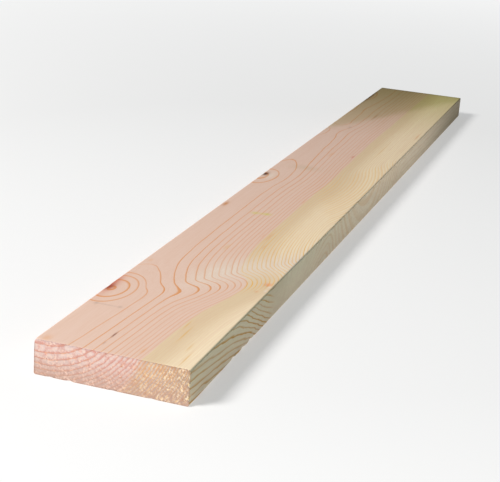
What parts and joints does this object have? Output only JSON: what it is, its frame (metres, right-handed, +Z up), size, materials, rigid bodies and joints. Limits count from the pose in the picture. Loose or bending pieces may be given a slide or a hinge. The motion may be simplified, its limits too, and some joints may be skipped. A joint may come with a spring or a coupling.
{
  "type": "timber plank",
  "caption": "Planed softwood plank of rectangular section with lightly rounded long edges and square sawn ends, lying flat.",
  "frame": {"origin": "middle of the underside, on the floor that the plank lies on", "axes": "+X along the grain, +Y across the wide face, +Z up through the thickness"},
  "size_m": [1.8, 0.195, 0.045],
  "materials": {
    "timber": "planed"
  },
  "bodies": {
    "root": {"plank": "timber"}
  },
  "joints": []
}
